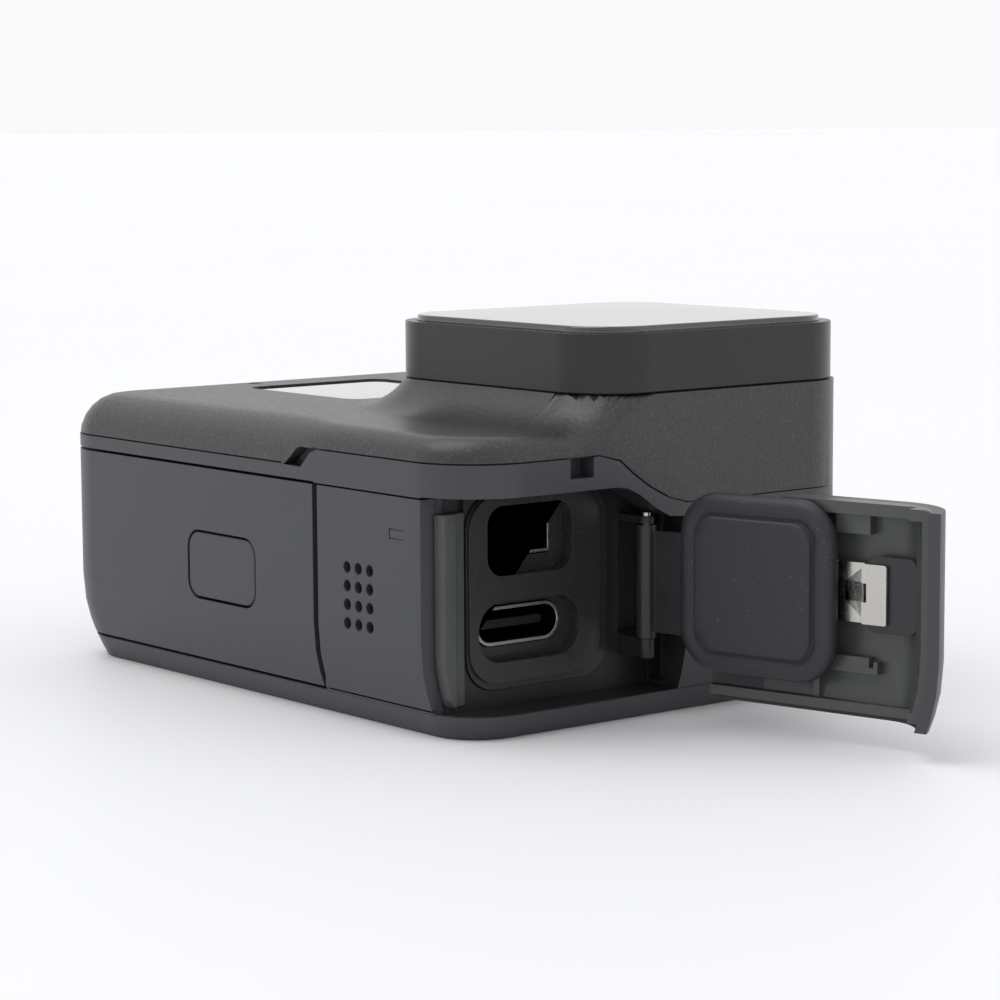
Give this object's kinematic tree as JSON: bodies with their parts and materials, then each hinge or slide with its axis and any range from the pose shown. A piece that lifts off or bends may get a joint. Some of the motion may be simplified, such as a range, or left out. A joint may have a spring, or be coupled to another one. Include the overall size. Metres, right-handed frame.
{
  "type": "action camera",
  "caption": "Pocket action camera lying on its rear display, square lens housing up, with a hinged telescoping port door, battery door, latches and press buttons.",
  "frame": {"origin": "middle of the rear face, on the surface the camera lies on", "axes": "+X towards the port side, +Y towards the shutter side, +Z along the lens axis towards the scene"},
  "size_m": [0.0902, 0.0451, 0.033],
  "materials": {
    "hard_shell": "fine moulded texture",
    "soft_touch": "grainy soft-touch coating",
    "satin_black": "satin",
    "bay_plastic": "smooth",
    "inner_plastic": "satin",
    "slider_plastic": "satin",
    "black_plastic": "matt",
    "pad_rubber": "matt",
    "black_rubber": "matt",
    "display_glass": "polished",
    "display_panel": "gloss",
    "clear_glass": "polished",
    "circuit_board": "solder mask",
    "sheet_metal": "satin",
    "bright_metal": "bright nickel",
    "port_metal": "satin",
    "pin_steel": "ground",
    "gold_contact": "plated",
    "battery_wrap": "printed wrap",
    "pull_tab": "film",
    "mesh_metal": "woven",
    "red_plastic": "gloss",
    "lamp_window": "gloss"
  },
  "bodies": {
    "root": {"rear_bezel": "hard_shell", "rear_display_glass": "display_glass", "rear_display_panel": "display_panel", "main_housing": "hard_shell", "front_shell": "soft_touch", "speaker_panel": "hard_shell", "speaker_driver": "black_plastic", "speaker_mesh": "mesh_metal", "lens_housing": "satin_black", "lens_cover_glass": "clear_glass", "lens_gasket": "black_rubber", "lens_barrel": "black_plastic", "lens_front_element": "clear_glass", "lens_rear_element": "clear_glass", "sensor_board": "circuit_board", "front_display_glass": "display_glass", "front_display_panel": "display_panel", "main_board": "circuit_board", "heat_spreader": "sheet_metal", "battery": "battery_wrap", "battery_pull_tab": "pull_tab", "battery_contacts": "gold_contact", "memory_card": "black_plastic", "memory_card_slot": "sheet_metal", "port_plate": "bay_plastic", "port_board": "circuit_board", "data_port_shell": "port_metal", "data_port_tongue": "black_plastic", "video_port_shell": "port_metal", "video_port_contacts": "gold_contact", "bay_corner_post": "inner_plastic", "side_hinge_pin": "pin_steel", "battery_hinge_pin": "pin_steel", "shutter_ring": "red_plastic", "shutter_spring": "pin_steel", "mode_spring": "pin_steel", "status_lamps": "lamp_window", "microphone_mesh": "mesh_metal", "housing_screws": "pin_steel"},
    "side_arm": {"side_hinge_arm": "bay_plastic"},
    "seal_carriage": {"seal_carriage": "bay_plastic", "seal_pad": "pad_rubber"},
    "side_door": {"side_door_shell": "hard_shell", "side_door_carrier": "inner_plastic"},
    "side_latch": {"latch_slider": "slider_plastic", "latch_plate": "bright_metal"},
    "battery_door": {"battery_door_shell": "hard_shell", "battery_door_seal": "black_rubber", "battery_latch_spring": "pin_steel"},
    "battery_latch": {"battery_latch_button": "hard_shell"},
    "shutter_button": {"shutter_button": "hard_shell"},
    "mode_button": {"mode_button": "hard_shell"}
  },
  "joints": [
    {"name": "side_door_hinge", "type": "hinge", "parent": "root", "child": "side_arm", "pos_m": [0.0291, -0.00125, 0], "axis": [0, 0, 1], "range_deg": [-103, 0]},
    {"name": "seal_carriage_slide", "type": "slide", "parent": "side_arm", "child": "seal_carriage", "axis": [0.9744, 0.225, 0], "range_m": [-0.0026, 0]},
    {"name": "side_door_slide", "type": "slide", "parent": "seal_carriage", "child": "side_door", "axis": [0.9744, 0.225, 0], "range_m": [-0.00625, 0]},
    {"name": "side_latch_slide", "type": "slide", "parent": "side_door", "child": "side_latch", "axis": [0.9744, 0.225, 0], "range_m": [-0.0008, 0], "stiffness_N_per_m": 300},
    {"name": "battery_door_hinge", "type": "hinge", "parent": "root", "child": "battery_door", "pos_m": [-0.0301, -0.0136, 0], "axis": [0, 0, -1], "range_deg": [0, 100]},
    {"name": "battery_latch_press", "type": "slide", "parent": "battery_door", "child": "battery_latch", "axis": [0, 1, 0], "range_m": [0, 0.0004], "stiffness_N_per_m": 500},
    {"name": "shutter_press", "type": "slide", "parent": "root", "child": "shutter_button", "axis": [0, -1, 0], "range_m": [0, 0.0004], "stiffness_N_per_m": 500},
    {"name": "mode_press", "type": "slide", "parent": "root", "child": "mode_button", "axis": [1, 0, 0], "range_m": [0, 0.0004], "stiffness_N_per_m": 500}
  ],
  "couplings": [
    {"joint": "seal_carriage_slide", "follows": "side_door_hinge", "m_per_rad": 0.0014407},
    {"joint": "side_door_slide", "follows": "side_door_hinge", "m_per_rad": 0.0034711}
  ]
}
